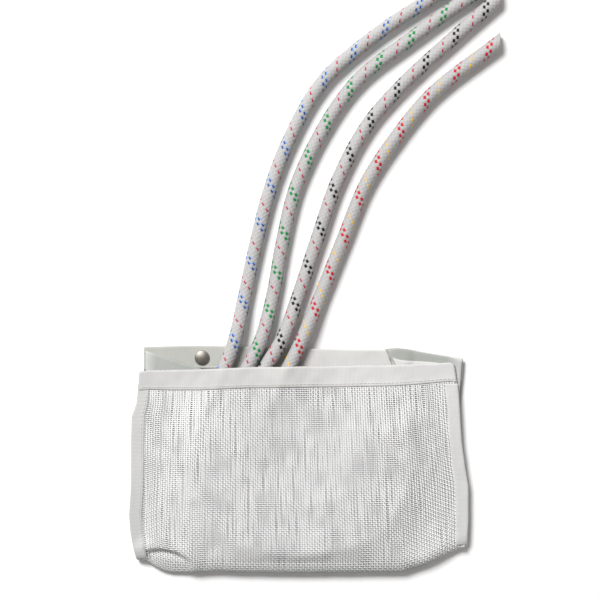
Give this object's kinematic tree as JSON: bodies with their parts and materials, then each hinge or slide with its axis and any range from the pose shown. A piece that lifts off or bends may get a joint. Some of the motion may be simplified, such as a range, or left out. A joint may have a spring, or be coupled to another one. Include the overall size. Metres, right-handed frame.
{
  "type": "rope storage bag",
  "caption": "Flat mesh pocket with a coated back and press snaps, open along the top, with the tails of fleck-patterned braided ropes stowed in it.",
  "frame": {"origin": "middle of the bag, on the surface that its back lies on", "axes": "+X across the bag to the right, +Y up towards its mouth, +Z out of its front"},
  "size_m": [0.3746, 0.6147, 0.0247],
  "materials": {
    "coated_fabric": "woven polyester with a smooth PVC coating, light grey",
    "thread": "bonded polyester sewing thread, off-white",
    "gusset_fabric": "thin coated fabric, grey with a green cast",
    "woven_mesh": "open weave of PVC coated polyester yarn, light grey",
    "hem_tape": "ribbed PVC coated tape folded over the edge, light grey",
    "snap_cap_metal": "nickel plated, worn satin",
    "snap_socket_metal": "nickel plated",
    "snap_spring_wire": "bright spring wire",
    "braid_blue": "white polyester braid with dark and light blue flecks and a crimson tracer",
    "braid_green": "white polyester braid with green flecks and a crimson tracer",
    "braid_black": "white polyester braid with black flecks and a crimson tracer",
    "braid_red": "white polyester braid with red flecks and a yellow tracer",
    "whipping_twine": "waxed twine, cream",
    "melted_end": "polyester melted by the hot knife"
  },
  "bodies": {
    "bag": {"back_panel": "coated_fabric", "back_top_hem": "coated_fabric", "bottom_seam": "coated_fabric", "gusset_left": "gusset_fabric", "gusset_right": "gusset_fabric", "back_hem_stitch": "thread", "bottom_stitch": "thread", "gusset_stitch_left": "thread", "gusset_stitch_right": "thread", "snap_cap_left": "snap_cap_metal", "snap_cap_right": "snap_cap_metal", "snap_socket_left": "snap_socket_metal", "snap_socket_right": "snap_socket_metal", "snap_spring_left": "snap_spring_wire", "snap_spring_right": "snap_spring_wire", "rope_blue": "braid_blue", "rope_green": "braid_green", "rope_black": "braid_black", "rope_red": "braid_red", "whipping_blue": "whipping_twine", "whipping_green": "whipping_twine", "whipping_black": "whipping_twine", "whipping_red": "whipping_twine", "inner_end_blue": "melted_end", "inner_end_green": "melted_end", "inner_end_black": "melted_end", "inner_end_red": "melted_end", "outer_end_blue": "melted_end", "outer_end_green": "melted_end", "outer_end_black": "melted_end", "outer_end_red": "melted_end"},
    "front": {"front_panel": "woven_mesh", "front_top_hem": "hem_tape", "side_band_left": "hem_tape", "side_band_right": "hem_tape", "front_hem_stitch": "thread", "band_stitch_left": "thread", "band_stitch_right": "thread"}
  },
  "joints": [
    {"name": "mouth", "type": "hinge", "parent": "bag", "child": "front", "pos_m": [0, -0.113, 0.0055], "axis": [1, 0, 0], "range_deg": [0, 25]}
  ]
}
